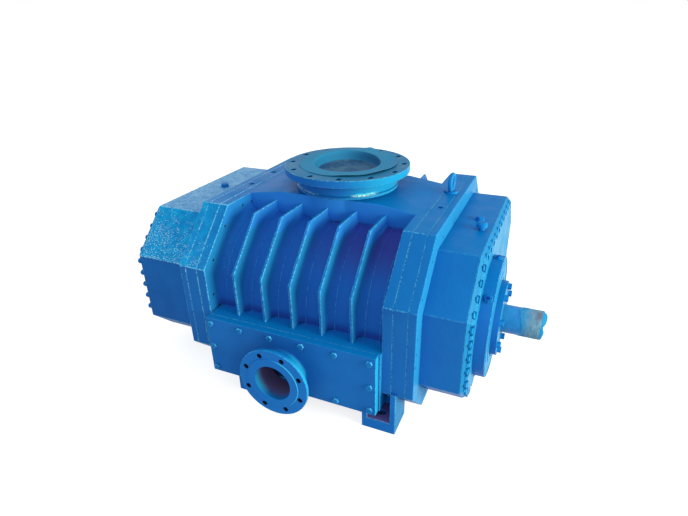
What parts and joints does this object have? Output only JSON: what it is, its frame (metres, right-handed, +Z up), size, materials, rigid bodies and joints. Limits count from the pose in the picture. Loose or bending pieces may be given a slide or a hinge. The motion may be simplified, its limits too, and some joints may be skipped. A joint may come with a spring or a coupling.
{
  "type": "roots vacuum pump",
  "caption": "Two-rotor roots vacuum pump with ribbed casing, top inlet flange, gas return ports, timing gear cover and a keyed drive shaft",
  "frame": {"origin": "centre of the four anchor holes, on the floor under the feet", "axes": "+X along the rotor shafts towards the coupling end, -Y the front with the near return port, +Z up through the inlet"},
  "size_m": [1.389, 1.144, 0.708],
  "materials": {
    "casing_paint": "gloss",
    "end_plate_paint": "gloss",
    "box_paint": "gloss",
    "cover_paint": "gloss",
    "nozzle_paint": "gloss",
    "bolt_paint": "gloss",
    "strainer_paint": "satin",
    "plug_paint": "gloss",
    "shaft_steel": "satin",
    "rotor_iron": "matt",
    "gear_steel": "satin",
    "bearing_steel": "polished",
    "cage_brass": "satin",
    "plain_steel": "satin",
    "seal_rubber": "matt",
    "seal_iron": "matt",
    "sight_glass": "clear"
  },
  "bodies": {
    "stator": {"casing": "casing_paint", "inlet_nozzle": "nozzle_paint", "inlet_strainer": "strainer_paint", "discharge_flange": "nozzle_paint", "mounting_feet": "casing_paint", "gear_end_plate": "end_plate_paint", "drive_end_plate": "end_plate_paint", "gear_cover": "box_paint", "oil_box": "box_paint", "gear_box_end_cover": "cover_paint", "oil_box_end_cover": "cover_paint", "shaft_end_cover": "cover_paint", "seal_housing": "cover_paint", "lip_seals": "seal_rubber", "bearing_outer_rings": "bearing_steel", "bearing_retainers": "plain_steel", "chamber_seal_rings": "seal_iron", "front_port_cover": "nozzle_paint", "rear_port_cover": "nozzle_paint", "gear_cover_bolts": "bolt_paint", "oil_box_bolts": "bolt_paint", "seal_housing_bolts": "bolt_paint", "shaft_cover_screws": "bolt_paint", "port_cover_bolts": "bolt_paint", "retainer_screws": "plain_steel", "lifting_eye": "bolt_paint", "oil_filler_plugs": "plug_paint", "oil_drain_plugs": "plug_paint", "oil_box_breather": "plug_paint", "shaft_cover_plugs": "plug_paint", "sight_glass_rings": "plug_paint", "sight_glass_lenses": "sight_glass"},
    "drive_line": {"drive_shaft": "shaft_steel", "drive_rotor": "rotor_iron", "drive_timing_gear": "gear_steel", "drive_bearing_inner_rings": "bearing_steel", "drive_oil_slinger": "plain_steel", "drive_shaft_nuts": "plain_steel", "seal_sleeve": "bearing_steel"},
    "driven_line": {"driven_shaft": "plain_steel", "driven_rotor": "rotor_iron", "driven_timing_gear": "gear_steel", "driven_bearing_inner_rings": "bearing_steel", "driven_oil_slinger": "plain_steel", "driven_shaft_nuts": "plain_steel"},
    "drive_bearing_cage_set": {"drive_bearing_cages": "cage_brass", "drive_bearing_rollers": "bearing_steel"},
    "driven_bearing_cage_set": {"driven_bearing_cages": "cage_brass", "driven_bearing_rollers": "bearing_steel"}
  },
  "joints": [
    {"name": "drive_rotor_spin", "type": "hinge", "parent": "stator", "child": "drive_line", "pos_m": [-0.068, -0.156, 0.296], "axis": [1, 0, 0], "continuous": true},
    {"name": "driven_rotor_spin", "type": "hinge", "parent": "stator", "child": "driven_line", "pos_m": [-0.068, 0.156, 0.296], "axis": [1, 0, 0], "continuous": true},
    {"name": "drive_cage_spin", "type": "hinge", "parent": "stator", "child": "drive_bearing_cage_set", "pos_m": [-0.068, -0.156, 0.296], "axis": [1, 0, 0], "continuous": true},
    {"name": "driven_cage_spin", "type": "hinge", "parent": "stator", "child": "driven_bearing_cage_set", "pos_m": [-0.068, 0.156, 0.296], "axis": [1, 0, 0], "continuous": true}
  ],
  "couplings": [
    {"joint": "driven_rotor_spin", "follows": "drive_rotor_spin", "ratio": -1},
    {"joint": "drive_cage_spin", "follows": "drive_rotor_spin", "ratio": 0.4214},
    {"joint": "driven_cage_spin", "follows": "drive_rotor_spin", "ratio": -0.4214}
  ]
}
